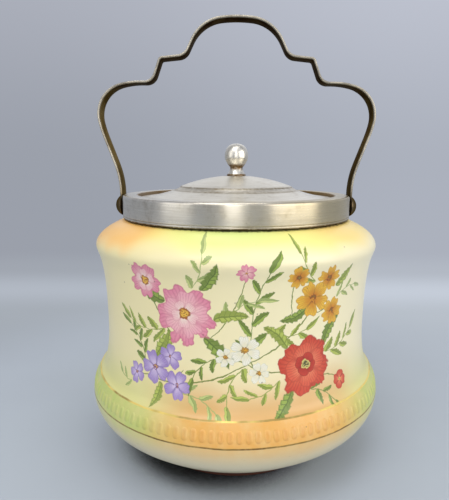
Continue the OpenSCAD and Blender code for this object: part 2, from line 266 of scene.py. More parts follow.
def jar_outline():
    under = underside(0, 20)
    band = [band_line(1 - i / 16)[:2] for i in range(17)]
    side = waist(0, 16)
    top = shoulder(0, 22)
    outer = under + band[1:] + side[1:] + top
    corner = len(under) + len(band) - 1 + len(side) - 2
    outer = smoothed(outer, corner - 2, corner + 4, 4)
    inner = underside(WALL, 10) + [(band_line(1 - i / 4)[0] - WALL, band_line(1 - i / 4)[1])
                                   for i in range(1, 5)] + waist(WALL, 7)[1:] + shoulder(WALL, 8)
    foot = soften([(0, FOOT_RISE), (FOOT_IN_R, FOOT_RISE, 0.7), (FOOT_IN_R, 0, 0.5),
                   (FOOT_R, 0, 0.8), under[0]], 4)[:-1]
    lip = soften([(NECK_R, NECK_Z), (NECK_R, LIP_Z, 1.0), (NECK_IN_R, LIP_Z, 1.0),
                  (NECK_IN_R, NECK_Z - 4)], 4)[1:-1]
    return thinned([p for p in foot if p[0] == 0] + [p for p in foot if p[0] > 0]
                   + outer + lip + inner[::-1] + [(0, FLOOR_Z)])


jar = finished("jar", revolved(jar_outline(), JAR_SIDES, closed=False), "jar",
               ["jar_body"], sharp=50)

# ---- embossed beads

BEADS, BEAD_STEPS, BEAD_ROWS = 122, 12, 14
ROW_H, ROW_UP, ROW_SINK, ROW_PROUD, ROW_BACK = 5.2, 1.7, 0.15, 0.34, 1.2
# A bead's half width as a share of its pitch, and the powers that round its sides, ends, crown
BEAD_HALF, SIDE_POWER, END_POWER, CROWN_POWER = 0.82, 2.6, 3.2, 0.55
HOLLOW, HOLLOW_HALF_W, HOLLOW_HALF_H = 0.13, 0.34, 0.62


def bead_row():
    """A ring of upright oblong beads; between them it dips under the jar's face."""
    middle = 1 - (ROW_UP + ROW_H / 2) / BAND_H
    half = ROW_H / 2 / BAND_H
    count = BEADS * BEAD_STEPS
    bm = bmesh.new()
    rings = []
    for i in range(BEAD_ROWS + 1):
        b = -math.cos(math.pi * i / BEAD_ROWS)
        r0, z0, nx, nz = band_line(middle + half * b)
        ring = []
        for k in range(count):
            a = (k % BEAD_STEPS) / BEAD_STEPS * 2 - 1
            body = 1 - abs(a / BEAD_HALF) ** SIDE_POWER - abs(b) ** END_POWER
            lift = (ROW_SINK + ROW_PROUD) * max(0.0, body) ** CROWN_POWER - ROW_SINK
            hollow = HOLLOW * max(0.0, 1 - (a / HOLLOW_HALF_W) ** 2 - (b / HOLLOW_HALF_H) ** 2)
            lift -= hollow if lift > 0 else 0
            t = TAU * k / count
            r = r0 + lift * nx
            ring.append(bm.verts.new((r * MM * math.sin(t), -r * MM * math.cos(t),
                                      (z0 + lift * nz) * MM)))
        rings.append(ring)
    back = []
    for b in (1, -1):
        r0, z0, nx, nz = band_line(middle + half * b)
        r = (r0 - ROW_BACK) * MM
        back.append([bm.verts.new((r * math.sin(TAU * k / count),
                                   -r * math.cos(TAU * k / count), z0 * MM))
                     for k in range(count)])
    loop = rings + back
    for a, b in zip(loop, loop[1:] + loop[:1]):
        for k in range(count):
            m = (k + 1) % count
            bm.faces.new((a[k], a[m], b[m], b[k]))
    return bm


beads = finished("bead_row", bead_row(), "jar", sharp=60)

# ---- collar

COLLAR_R, COLLAR_Z, COLLAR_TOP, SHEET = 57.4, 118.9, 130.0, 0.9
OPENING_R, SEAT_R, SEAT_Z = 50.0, 46.9, 127.5
HEM_Z = COLLAR_Z + 1.2
collar_outline = soften([
    (COLLAR_R - SHEET, COLLAR_Z, 0.15), (COLLAR_R, COLLAR_Z, 0.25),
    (COLLAR_R, HEM_Z - 0.2, 0.08), (COLLAR_R - 0.25, HEM_Z, 0.08), (COLLAR_R, HEM_Z + 0.2, 0.08),
    (COLLAR_R, COLLAR_TOP, 1.5), (OPENING_R, COLLAR_TOP, 0.5),
    (OPENING_R, SEAT_Z, 0.3), (SEAT_R, SEAT_Z, 0.2), (SEAT_R, SEAT_Z - SHEET, 0.2),
    (OPENING_R + SHEET, SEAT_Z - SHEET, 0.3), (OPENING_R + SHEET, COLLAR_TOP - SHEET, 0.3),
    (COLLAR_R - SHEET, COLLAR_TOP - SHEET, 0.8)], 7)
collar = finished("collar", revolved(thinned(collar_outline), METAL_SIDES), "jar",
                  ["collar_band"], sharp=40)

# ---- lid and finial

RIM_R, RIM_W, RIM_Z, LID_SHEET, LID_HOLE_R = 49.3, 1.8, 128.4, 0.8, 1.55
DOME_R, DOME_Z, DOME_RISE = 28.3, 134.1, 5.3
STEP_R, STEP_Z = 31.5, 132.2
LID_TOP = DOME_Z + DOME_RISE
STUD_R, STUD_Z, STUD_CUT = 1.5, 134.7, 0.4


def lid_outline():
    big = (DOME_R ** 2 + DOME_RISE ** 2) / (2 * DOME_RISE)
    start = math.degrees(math.acos(LID_HOLE_R / big))
    end = math.degrees(math.acos(DOME_R / big))
    dome = arc_points(0, LID_TOP - big, big, start, end, 26)
    step = bulge_points((DOME_R, DOME_Z), (STEP_R, STEP_Z), -0.23, 7)
    brim = bulge_points((STEP_R, STEP_Z), (RIM_R - RIM_W, RIM_Z), -0.46, 16)
    face = dome + step[1:] + brim[1:]
    k = len(dome) - 1
    face = smoothed(face, k, k + 1, 1)
    m = len(dome) + len(step) - 2
    face = smoothed(face, m, m + 1, 1)
    rim = soften([(RIM_R - RIM_W, RIM_Z), (RIM_R, RIM_Z, 0.45), (RIM_R, RIM_Z - LID_SHEET, 0.2),
                  (RIM_R - RIM_W, RIM_Z - LID_SHEET)], 5)[1:-1]
    under = [(r, z - LID_SHEET) for r, z in face[::-1]]
    return thinned(face + rim + under)


lid = finished("lid", revolved(lid_outline(), METAL_SIDES), "lid",
               ["lid_shell"], sharp=25)


def finial_outline():
    base = LID_TOP + 0.05
    neck, foot, bud = 3.15, 4.8, 6.0
    nz, top = base + 4.0, base + 16.0
    belly = nz + 5.2
    return thinned(
        [(0, STUD_Z), (STUD_R - STUD_CUT, STUD_Z), (STUD_R, STUD_Z + STUD_CUT), (STUD_R, base)]
        + soften([(STUD_R, base), (foot, base - 0.13, 0.12), (foot, base + 0.55, 0.2),
                  (foot - 0.3, base + 0.6)], 4)[1:]
        + curve_points([(foot - 0.3, base + 0.6), (foot - 0.9, base + 1.6),
                        (neck + 0.1, nz - 1.4), (neck, nz - 0.3)], 18)[1:]
        + curve_points([(neck + 0.1, nz + 0.1), (neck + 0.912, nz + 1.2),
                        (bud, belly - 1.77), (bud, belly)], 24)
        + curve_points([(bud, belly), (bud, belly + 4.08), (bud * 0.7, top), (0, top)], 30)[1:])


finial = finished("finial_bud", revolved(finial_outline(), FINIAL_SIDES, closed=False), "lid",
                  ["finial"], sharp=35)

# ---- rivets

PIVOT_Z, RIVET_R, HEAD_R, HEAD_H = 124.0, 2.0, 5.3, 3.3
STRAP_IN_X, STRAP_T, STRAP_W = 58.05, 0.9, 10.4
HEAD_X = STRAP_IN_X + STRAP_T + 0.1
TAIL_R, TAIL_X, TAIL_H = 2.9, 55.25, 0.9


def rivet(side):
    """Dome outside the strap, pin, and a flat tail inside the collar; side is 1 or -1."""
    big = (HEAD_R ** 2 + HEAD_H ** 2) / (2 * HEAD_H)
    angle = math.degrees(math.asin(HEAD_R / big))
    dome = arc_points(0, HEAD_X + HEAD_H - big, big, 90 - angle, 90, 20)
    outline = (soften([(0, TAIL_X), (TAIL_R, TAIL_X, 0.4), (TAIL_R, TAIL_X + TAIL_H, 0.1),
                       (RIVET_R, TAIL_X + TAIL_H)], 3)
               + [(RIVET_R, HEAD_X)]
               + soften([(RIVET_R, HEAD_X), (HEAD_R, HEAD_X, 0.15), dome[1]], 3)[1:-1] + dome[1:])
    bm = revolved(thinned(outline), RIVET_SIDES, closed=False)
    turn = Matrix.Rotation(math.radians(90), 4, "Y")
    bmesh.ops.transform(bm, matrix=turn, verts=bm.verts)
    if side < 0:
        bmesh.ops.scale(bm, vec=(-1, 1, 1), verts=bm.verts)
    bmesh.ops.translate(bm, vec=(0, 0, PIVOT_Z * MM), verts=bm.verts)
    name = "right" if side > 0 else "left"
    return finished("rivet_" + name, bm, "jar", ["pivot_rivet_" + name])


rivets = [rivet(1), rivet(-1)]

# ---- bail

STRAP_X = STRAP_IN_X + STRAP_T / 2
# Runs (mm, 0) and bends (radius in mm, degrees) from the rivet up
LEG = [(6, 0), (45, -20), (14.5, 0), (50, 8), (15, 87), (38, 15), (2, 0), (5.5, -70), (7, 0),
       (1.8, 64)]
ARCH = [(6, -58), (4.5, 0), (18.5, 57.5), (66, 6.5)]
EDGE_ROUND, EYE_HOLE_R, DRILL_LONG = 0.38, 2.05, 6
RUN_STEP, BEND_STEP = 1.5, 2.5
# Where the eye's round end is sampled, in degrees from its middle
EYE_ANGLES = (86, 78, 68, 57, 45, 33, 22, 11)


def walk(steps, x=0.0, y=0.0, h=0.0):
    """Points (along, left, heading) down a path of straight runs and bends."""
    out = [(x, y, h)]
    for size, angle in steps:
        if angle == 0:
            n = max(2, round(size / RUN_STEP))
            for k in range(1, n + 1):
                out.append((x + size * k / n * math.cos(h), y + size * k / n * math.sin(h), h))
        else:
            s, turn = math.copysign(1, angle), math.radians(angle)
            cx, cy = x - size * s * math.sin(h), y + size * s * math.cos(h)
            n = max(4, round(abs(angle) / BEND_STEP))
            for k in range(1, n + 1):
                g = h + turn * k / n
                out.append((cx + size * s * math.sin(g), cy - size * s * math.cos(g), g))
            h += turn
        x, y = out[-1][:2]
    return out


def strap_section(half_width):
    """Rounded rectangle round the strap: (across, through) in mm."""
    w, t = half_width, STRAP_T / 2
    cut = min(EDGE_ROUND, w * 0.8)
    return soften([(-w, -t, cut), (0, -t), (w, -t, cut), (w, t, cut), (0, t), (-w, t, cut)], 4)


def bail():
    """The strap as one closed bmesh; its right half is walked and the left half mirrored."""
    leg = walk(LEG)
    arch_end = walk(ARCH, 0, 0, leg[-1][2])[-1]
    ledge = (STRAP_X - leg[-1][1] - arch_end[1]) / math.sin(leg[-1][2])
    path = walk(LEG + [(ledge, 0)] + ARCH)
    eye = STRAP_W / 2
    ends = [(-eye * math.sin(math.radians(a)), 0.0, 0.0) for a in EYE_ANGLES]
    stations = []
    for x, y, h in ends + path:
        width = math.sqrt(max(0.0, eye ** 2 - x * x)) if x < 0 else eye
        stations.append((STRAP_X - y, PIVOT_Z + x, -math.cos(h), -math.sin(h), width))
    mirrored = [(-x, z, -nx, nz, w) for x, z, nx, nz, w in stations[-2::-1]]
    bm = bmesh.new()
    rings = []
    for x, z, nx, nz, w in stations + mirrored:
        rings.append([bm.verts.new(((x + o * nx) * MM, a * MM, (z + o * nz) * MM))
                      for a, o in strap_section(w)])
    n = len(rings[0])
    for a, b in zip(rings, rings[1:]):
        for k in range(n):
            m = (k + 1) % n
            bm.faces.new((a[k], a[m], b[m], b[k]))
    bm.faces.new(rings[0])
    bm.faces.new(rings[-1])
    return bm


def with_holes(bm):
    """Drills the two eyes for the rivets."""
    bmesh.ops.recalc_face_normals(bm, faces=bm.faces)
    mesh = bpy.data.meshes.new("strap_blank")
    bm.to_mesh(mesh)
    bm.free()
    blank = bpy.data.objects.new("strap_blank", mesh)
    scene.collection.objects.link(blank)
    drill_bm = bmesh.new()
    for side in (1, -1):
        bmesh.ops.create_cone(
            drill_bm, cap_ends=True, segments=48, radius1=EYE_HOLE_R * MM,
            radius2=EYE_HOLE_R * MM, depth=DRILL_LONG * MM,
            matrix=Matrix.Translation((side * STRAP_X * MM, 0, PIVOT_Z * MM))
            @ Matrix.Rotation(math.radians(90), 4, "Y"))
    drill_mesh = bpy.data.meshes.new("drill")
    drill_bm.to_mesh(drill_mesh)
    drill_bm.free()
    drill = bpy.data.objects.new("drill", drill_mesh)
    scene.collection.objects.link(drill)
    cut = blank.modifiers.new("cut", "BOOLEAN")
    cut.object = drill
    cut.operation = "DIFFERENCE"
    cut.solver = "EXACT"
    bpy.context.view_layer.update()
    result = bmesh.new()
    result.from_mesh(blank.evaluated_get(bpy.context.evaluated_depsgraph_get()).to_mesh())
    bpy.data.objects.remove(blank)
    bpy.data.objects.remove(drill)
    return result


handle = finished("bail_strap", with_holes(bail()), "bail",
                  ["bail_handle"], sharp=40)

# ---- materials


def linear(code):
    """Linear colour from an sRGB hex code."""
    out = []
    for i in (0, 2, 4):
        c = int(code[i:i + 2], 16) / 255
        out.append(c / 12.92 if c <= 0.04045 else ((c + 0.055) / 1.055) ** 2.4)
    return (*out, 1.0)


class Graph:
    """Short calls for building a node tree. A socket is linked, and a number or a hex colour
    is set on the input itself; node kinds are given without ShaderNode in front."""

    def __init__(self, tree):
        self.tree = tree

    def put(self, socket, value):
        if isinstance(value, bpy.types.NodeSocket):
            self.tree.links.new(value, socket)
        else:
            socket.default_value = linear(value) if isinstance(value, str) else value

    def fill(self, node, inputs):
        for key, value in inputs.items():
            self.put(node.inputs[key], value)
        return node

    def node(self, kind, inputs=None, **settings):
        made = self.tree.nodes.new("ShaderNode" + kind)
        for key, value in settings.items():
            setattr(made, key, value)
        return self.fill(made, inputs or {})

    def math(self, operation, *values, clamp=False):
        inputs = dict(enumerate(values))
        return self.node("Math", inputs, operation=operation, use_clamp=clamp).outputs[0]

    plus = partialmethod(math, "ADD")
    minus = partialmethod(math, "SUBTRACT")
    inverse = partialmethod(math, "SUBTRACT", 1.0)
    times = partialmethod(math, "MULTIPLY")
    scaled = partialmethod(math, "MULTIPLY_ADD")  # value, factor, offset
    over = partialmethod(math, "DIVIDE")
    largest = partialmethod(math, "MAXIMUM")
    absolute = partialmethod(math, "ABSOLUTE")
    fraction = partialmethod(math, "FRACT")

    def vector(self, operation, *values):
        made = self.node("VectorMath", dict(enumerate(values)), operation=operation)
        return made.outputs[1 if operation in ("LENGTH", "DOT_PRODUCT") else 0]

    def combine(self, *parts):
        return self.node("CombineXYZ", dict(enumerate(parts))).outputs[0]

    def split(self, vector):
        return self.node("SeparateXYZ", {0: vector}).outputs

    def mix(self, factor, a, b, blend="MIX"):
        return self.node("Mix", {0: factor, 6: a, 7: b}, data_type="RGBA",
                         blend_type=blend).outputs[2]

    def ramp(self, value, low, high):
        """Smooth 0 to 1 as value goes from low to high."""
        return self.node("MapRange", {"Value": value, "From Min": low, "From Max": high},
                         interpolation_type="SMOOTHSTEP").outputs[0]

    def fall(self, value, low, high):
        """Smooth 1 to 0 as value goes from low to high."""
        return self.inverse(self.ramp(value, low, high))

    def line(self, value, centre, half, soft):
        """1 within half of centre, fading over soft."""
        return self.fall(self.absolute(self.minus(value, centre)), half, half + soft)

    def noise(self, vector, scale, detail=3.0, rough=0.5):
        return self.node("TexNoise", {"Vector": vector, "Scale": scale, "Detail": detail,
                                      "Roughness": rough}).outputs["Fac"]

    def dots(self, vector, scale, near, far):
        """Small round spots: 1 up to near from their middles, 0 past far."""
        cells = self.node("TexVoronoi", {"Vector": vector, "Scale": scale}, feature="F1")
        return self.fall(cells.outputs["Distance"], near, far)

    def bump(self, strength, distance, height, **under):
        return self.node("Bump", {"Strength": strength, "Distance": distance,
                                  "Height": height, **under}).outputs[0]


def new_material(name):
    material = bpy.data.materials.new(name)
    material.use_nodes = True
    tree = material.node_tree
    return material, Graph(tree), tree.nodes["Principled BSDF"]


def object_mm(g):
    """Object coordinates in millimetres, as a vector and split, with the radius."""
    place = g.node("TexCoord").outputs["Object"]
    scaled = g.vector("MULTIPLY", place, (1000, 1000, 1000))
    x, y, z = g.split(scaled)
    radius = g.math("SQRT", g.plus(g.times(x, x), g.times(y, y)))
    return scaled, x, y, z, radius


def paint(piece, material):
    piece.data.materials.clear()
    piece.data.materials.append(material)


def refinish(node_name, material):
    """Gives a CAD node a better material, through its object's own slots."""
    for slot in frame["nodes"][node_name].material_slots:
        slot.material = material


# ---- plated metal


def plate(name, colour, dark, roughness, streak, tarnish, grime_and_shade=(),
          brushed_by=0.0, inside=None, glance=None, aged_and_shaded=None):
    """Plated metal brushed round the z axis, with patches of tarnish and small pits.

    The dark rings listed as (height, half height, fade, strength) are tarnish in creases and, in
    places, painted shade where surfaces meet. Within the radius inside, above the collar's seat,
    the metal is golden brown. Towards the right the clean metal turns to the given aged colour:
    partly warmer tarnish, partly darker as painted shade that dims the highlights there. glance
    tints its grazing reflections.
    """
    material, g, shader = new_material(name)
    place, x, y, z, radius = object_mm(g)
    fine = g.times(g.plus(z, radius), 9.0)
    brushed = g.combine(g.times(x, 0.035), g.times(y, 0.035), fine)
    lines = g.noise(brushed, 1.0, 4.0, 0.7)
    bands = g.combine(g.times(x, 0.07), g.times(y, 0.07), g.times(fine, 0.22))
    lines = g.plus(g.times(lines, 0.55), g.times(g.noise(bands, 1.0, 2.0, 0.6), 0.45))
    cloud = g.noise(place, 0.09, 5.0, 0.62)
    fleck = g.noise(place, 0.55, 4.0, 0.7)
    patch = g.times(g.ramp(cloud, 0.45, 0.72), g.ramp(fleck, 0.30, 0.62))
    stain = g.times(patch, tarnish)
    # Dark rings: tarnish in creases, and in places painted shade where surfaces meet
    for centre, half, soft, amount in grime_and_shade:
        ring = g.times(g.line(z, centre, half, soft), amount)
        ring = g.times(ring, g.ramp(fleck, 0.2, 0.55))
        stain = g.plus(stain, ring, clamp=True)
    if inside:
        well = g.fall(radius, inside, inside + 0.4)
        well = g.times(well, g.ramp(z, SEAT_Z + 0.2, SEAT_Z + 0.5))
        stain = g.plus(stain, g.times(well, 0.5), clamp=True)
    clean = colour
    # Towards the right: warmer tarnish, and darker as painted shade that dims the highlights there
    if aged_and_shaded:
        across = g.scaled(cloud, 60.0, g.minus(x, 30.0))
        clean = g.mix(g.ramp(across, -35, 45), clean, aged_and_shaded)
    tone = g.mix(g.times(g.ramp(lines, 0.3, 0.7), streak * 0.35), clean, g.mix(0.5, clean, dark))
    tone = g.mix(stain, tone, dark)
    if inside:
        tone = g.mix(g.times(well, 0.6), tone, "a07a3c")
    pit = g.dots(place, 0.33, 0.02, 0.06)
    tone = g.mix(g.times(pit, 0.5), tone, "3a3022")
    rough = g.scaled(lines, streak * 0.16, roughness - streak * 0.08)
    rough = g.scaled(stain, 0.22, rough)
    brushing = g.bump(0.12 * streak, 0.00004, lines)
    if glance:
        g.put(shader.inputs["Specular Tint"], glance)
    g.fill(shader, {"Base Color": tone, "Metallic": 1.0, "Roughness": rough,
                    "Anisotropic": brushed_by, "Anisotropic Rotation": 0.25,
                    "Normal": g.bump(0.15, 0.0004, cloud, Normal=brushing)})
    return material


# Collar: the dark rings at its lower edge and at the hem are partly dirt, partly painted shade of
# the gap and the groove; towards the right it is partly tarnished, partly darkened as painted shade
satin = plate("satin_plate", "ebe6da", "6b593c", 0.295, 1.4, 0.38, brushed_by=0.6, aged_and_shaded="d8caa6",
              grime_and_shade=[(COLLAR_Z, 0.25, 0.45, 0.9), (HEM_Z, 0.12, 0.15, 0.35)], inside=50.3)
# Lid: dark rings at the rim, the step, the dome's foot and the finial's foot, partly tarnish,
# partly painted shade where its surfaces meet
lid_satin = plate("lid_plate", "f3eee0", "86724c", 0.36, 1.4, 0.3, brushed_by=0.5,
                  grime_and_shade=[(DOME_Z - 0.2, 0.12, 0.4, 0.45), (LID_TOP + 0.1, 0.2, 0.3, 0.8),
                         (STEP_Z, 0.1, 0.35, 0.5), (DOME_Z - 0.9, 0.5, 0.5, 0.28),
                         (RIM_Z - 0.1, 0.2, 0.5, 0.45)])
bright = plate("bright_plate", "efeadc", "7a5a28", 0.33, 0.2, 0.14,
               grime_and_shade=[(LID_TOP + 4.3, 0.5, 1.6, 0.95), (LID_TOP + 0.3, 0.3, 0.4, 0.95)])
rivet_plate = plate("rivet_plate", "6b5c44", "2a2014", 0.34, 0.3, 0.75, glance="b5a88a")
worn = plate("worn_plate", "8d8470", "43361f", 0.42, 0.4, 0.6)


def strap_metal():
    """Brown-grey tarnish on the strap's faces; bright along its edges, partly worn plating and
    partly a painted highlight, and near black round the eyes as painted shade.
    """
    material, g, shader = new_material("strap_plate")
    place, x, y, z, _ = object_mm(g)
    grain = g.noise(g.vector("MULTIPLY", place, (0.3, 1.5, 0.3)), 1.0, 3.0, 0.6)
    cloud = g.noise(place, 0.12, 5.0, 0.6)
    fleck = g.noise(place, 0.8, 4.0, 0.7)
    # Bright along the front and back edges: partly worn plating, partly a painted highlight; below
    # the collar's top it fades out as painted shade
    edge = g.largest(g.ramp(y, -3.2, -4.9), g.ramp(y, 4.3, 5.1))
    edge = g.times(edge, g.ramp(z, 128.0, 136.0))
    edge = g.times(edge, g.scaled(g.ramp(cloud, 0.35, 0.62), 0.45, 0.5))
    face = g.mix(g.ramp(cloud, 0.30, 0.70), "2f2a22", "554c40")
    leg = g.fall(z, 168.0, 186.0)
    leg = g.times(leg, g.scaled(g.ramp(x, 20.0, -20.0), 0.65, 0.3))
    face = g.mix(leg, face, g.mix(g.ramp(cloud, 0.3, 0.7), "73634a", "a08c64"))
    face = g.mix(g.times(g.ramp(fleck, 0.5, 0.8), 0.3), face, "30271a")
    # Near black round the eyes, between rivet and collar: painted shade
    face = g.mix(g.fall(z, 126.5, 131.0), face, "1d150b")
    tone = g.mix(edge, face, "cdc5b3")
    rough = g.scaled(edge, 0.1, g.scaled(grain, 0.12, 0.30))
    g.fill(shader, {"Base Color": tone, "Specular Tint": "a39b8d", "Metallic": 1.0,
                    "Roughness": rough, "Normal": g.bump(0.08, 0.00004, grain)})
    return material


def plaster():
    """Gritty bedding between the jar's neck and the collar."""
    material, g, shader = new_material("plaster")
    grit = g.noise(object_mm(g)[0], 1.2, 5.0, 0.7)
    tone = g.mix(g.ramp(grit, 0.3, 0.7), "8d7f66", "c9c0ab")
    g.fill(shader, {"Base Color": tone, "Roughness": 0.95, "Normal": g.bump(0.4, 0.0002, grit)})
    return material


nut_metal = plate("nut_brass", "b59a5c", "5f4a22", 0.36, 0.3, 0.5)

paint(collar, satin)
paint(lid, lid_satin)
paint(finial, bright)
for piece in rivets:
    paint(piece, rivet_plate)
paint(handle, strap_metal())
refinish("collar_bedding", plaster())
for node_name in ("pivot_boss_left", "pivot_boss_right", "lid_bezel", "finial_washer"):
    refinish(node_name, worn)
refinish("finial_nut", nut_metal)

# ---- print: a loose garland laid out in mm along the wall (s) and up it (t)

LEAF_COS = 0.743  # cosine of the angle between a spray's stem and its leaves
LEAF_HALF = 0.22  # half width of a single leaf as a share of its length
PRINT_R = 67.0  # radius on which the garland is laid out


def group(name, colours, numbers):
    """A node group for one stamp: it lays its drawing over the colour Under, at Place.

    Gives the tree, its graph, the split place, the inputs and the output's socket.
    """
    tree = bpy.data.node_groups.new(name, "ShaderNodeTree")
    inputs = [("Under", "Color"), ("Place", "Vector")]
    inputs += [(label, "Color") for label in colours] + [(label, "Float") for label in numbers]
    for label, kind in inputs:
        tree.interface.new_socket(label, in_out="INPUT", socket_type="NodeSocket" + kind)
    tree.interface.new_socket("Colour", in_out="OUTPUT", socket_type="NodeSocketColor")
    g = Graph(tree)
    given = tree.nodes.new("NodeGroupInput").outputs
    x, y, _ = g.split(given["Place"])
    return tree, g, x, y, given, tree.nodes.new("NodeGroupOutput").inputs[0]


def bowed(g, x, y, bend):
    """The arch over a stem's length x, and how far y lies from a stem that bows by bend."""
    arch = g.times(g.times(x, 4.0), g.inverse(x))
    return arch, g.minus(y, g.times(bend, arch))


def leaf_group():
    """A toothed leaf from x = 0 to 1 and y = -1 to 1, bent, with a rib and side veins."""
    tree, g, x, y, given, out = group("leaf", ["Light", "Dark"], ["Bend"])
    _, across = bowed(g, g.times(x, 1.0, clamp=True), y, given["Bend"])
    away = g.absolute(across)
    tooth = g.fraction(g.scaled(away, -0.45, g.times(x, 6.0)))
    width = g.times(taper_width(g, x), g.scaled(tooth, -0.26, 1.0))
    inside = g.minus(width, away)
    vein = g.fraction(g.scaled(away, -0.9, g.times(x, 7.0)))
    vein = g.fall(vein, 0.05, 0.3)
    rib = g.fall(away, 0.05, 0.14)
    half = g.times(g.ramp(across, -0.3, 0.3), 0.5)
    rim = g.times(g.fall(inside, 0.1, 0.38), 0.55)
    dark = g.largest(g.largest(half, rim), g.times(g.largest(vein, rib), 0.8))
    g.put(out, g.mix(g.ramp(inside, 0.0, 0.16), given["Under"],
                     g.mix(dark, given["Light"], given["Dark"])))
    return tree


def taper_width(g, t):
    """Half width of a leaf along its length t, 1 at its widest."""
    t = g.times(t, 1.0, clamp=True)
    return g.math("POWER", g.times(g.times(g.math("POWER", t, 0.65), 2.8), g.inverse(t)), 0.8)


def spray_group():
    """A curved stem (x from 0 to 1, y in mm) with leaves along both sides and one at its end."""
    tree, g, x, y, given, out = group("spray", ["Light", "Dark"],
                                      ["Bend", "Length", "Pairs", "Leaf"])
    _, across = bowed(g, x, y, given["Bend"])
    away = g.absolute(across)
    along = g.times(x, given["Length"])
    pitch = g.over(given["Length"], given["Pairs"])
    left = g.times(g.math("GREATER_THAN", across, 0.0), 0.5)
    q = g.plus(g.over(g.scaled(away, -0.9, along), pitch), left)
    cell = g.math("FLOOR", q)
    off = g.times(g.minus(g.minus(q, cell), 0.5), g.times(pitch, LEAF_COS))
    grown = g.times(given["Leaf"], g.scaled(g.over(cell, given["Pairs"]), -0.35, 1.0))
    t = g.over(away, g.times(grown, LEAF_COS))
    tooth = g.scaled(g.fraction(g.times(t, 5.0)), -0.24, 1.0)
    side = g.times(g.times(taper_width(g, t), tooth), g.times(grown, 0.23))
    side = g.minus(side, g.absolute(off))
    known = g.times(g.math("GREATER_THAN", q, 0.0), g.math("LESS_THAN", q, given["Pairs"]))
    side = g.scaled(g.inverse(known), -9.0, side)
    end_t = g.over(g.minus(along, g.times(given["Length"], 0.98)), g.times(given["Leaf"], 0.95))
    end = g.minus(g.times(taper_width(g, end_t), g.times(given["Leaf"], 0.21)), away)
    on = g.times(g.math("GREATER_THAN", x, 0.0), g.math("LESS_THAN", x, 1.0))
    stem = g.minus(g.times(on, 0.3), away)
    inside = g.largest(g.largest(side, end), stem)
    is_end = g.math("GREATER_THAN", end_t, 0.0)
    lateral = g.plus(g.times(off, g.inverse(is_end)), g.times(across, is_end))
    rib = g.fall(g.absolute(lateral), 0.08, 0.26)
    rim = g.times(g.fall(inside, 0.05, 0.5), 0.6)
    dark = g.largest(g.times(g.ramp(lateral, -0.4, 0.4), 0.6), g.largest(rim, g.times(rib, 0.85)))
    g.put(out, g.mix(g.ramp(inside, 0.0, 0.25), given["Under"],
                     g.mix(dark, given["Light"], given["Dark"])))
    return tree


def stem_group():
    """A bare curved stem: x from 0 to 1 along it, y in half widths."""
    tree, g, x, y, given, out = group("stem", ["Light", "Dark"], ["Bend"])
    arch, across = bowed(g, x, y, given["Bend"])
    inside = g.minus(g.math("POWER", g.times(arch, 1.0, clamp=True), 0.12), g.absolute(across))
    g.put(out, g.mix(g.ramp(inside, 0.0, 0.5), given["Under"],
                     g.mix(g.ramp(across, -0.5, 0.6), given["Light"], given["Dark"])))
    return tree


def bloom_group():
    """An open flower of radius 1 with rounded, notched petals and a stippled eye.

    Wave and Grain are coarse and fine noise shared by all the flowers.
    """
    tree, g, x, y, given, out = group(
        "bloom", ["Tip", "Heart", "Shade", "Eye", "Rim"],
        ["Petals", "Cut", "Notch", "Eye size", "Wave", "Grain"])
    reach = g.vector("LENGTH", given["Place"])
    turn = g.over(g.math("ARCTAN2", y, x), TAU)
    part = g.fraction(g.times(turn, given["Petals"]))
    side = g.absolute(g.scaled(part, 2.0, -1.0))
    edge = g.scaled(given["Wave"], 0.28, 0.86)
    edge = g.minus(edge, g.times(given["Cut"], g.math("POWER", side, 2.6)))
    dip = g.fall(side, 0.0, 0.4)
    edge = g.minus(edge, g.times(given["Notch"], dip))
    inside = g.minus(edge, reach)
    run = g.over(reach, edge)
    ray = g.math("SINE", g.scaled(given["Wave"], 7.0, g.times(turn, 42 * TAU)))
    streaks = g.times(g.ramp(g.scaled(given["Grain"], 1.6, ray), 0.5, 1.9), g.ramp(run, 0.2, 0.6))
    tone = g.mix(g.ramp(g.scaled(given["Wave"], 0.5, run), 0.40, 1.2), given["Heart"], given["Tip"])
    gap = g.times(g.ramp(side, 0.62, 1.0), g.minus(1.2, run, clamp=True))
    outline = g.times(g.fall(inside, 0.02, 0.10), 0.6)
    dark = g.largest(g.largest(gap, outline), g.times(streaks, 0.30))
    tone = g.mix(dark, tone, given["Shade"])
    size = given["Eye size"]
    eye_reach = g.minus(g.scaled(given["Grain"], 0.2, reach), g.plus(size, 0.1))
    tone = g.mix(g.fall(eye_reach, -0.02, 0.03), tone, given["Rim"])
    core = g.fall(g.scaled(size, 0.2, eye_reach), -0.06, 0.03)
    tone = g.mix(g.times(core, g.ramp(given["Grain"], 0.38, 0.54)), tone, given["Eye"])
    g.put(out, g.mix(g.ramp(inside, 0.0, 0.05), given["Under"], tone))
    return tree


LEAF, SPRAY, STEM, BLOOM = leaf_group(), spray_group(), stem_group(), bloom_group()

GREENS = {"olive": ("b6c35c", "66782c"), "pale": ("c6d083", "7f9450"), "deep": ("97ae4c", "4b6026"),
          "stem": ("8f9c4c", "66763a")}

# Stems without leaves: s, t, angle, length, half width, bend (mm)
STEMS = [(5, 65, 143, 26, 0.42, 2.0), (5, 65, 42, 44, 0.42, -4.0), (5, 65, -8, 22, 0.42, -2.6),
         (5, 65, 193, 44, 0.40, 3.6), (-10, 76, 62, 30, 0.30, -2.4), (-27, 76, 117, 24, 0.32, 1.6),
         (24, 83, 88, 20, 0.28, 1.4), (30, 84, 18, 16, 0.28, -1.4), (34, 56, -14, 17, 0.28, 1.6),
         (-22, 61, 250, 12, 0.28, -1.2), (-30, 60, 196, 18, 0.28, 1.6), (4, 68, -58, 9, 0.26, 0.8)]

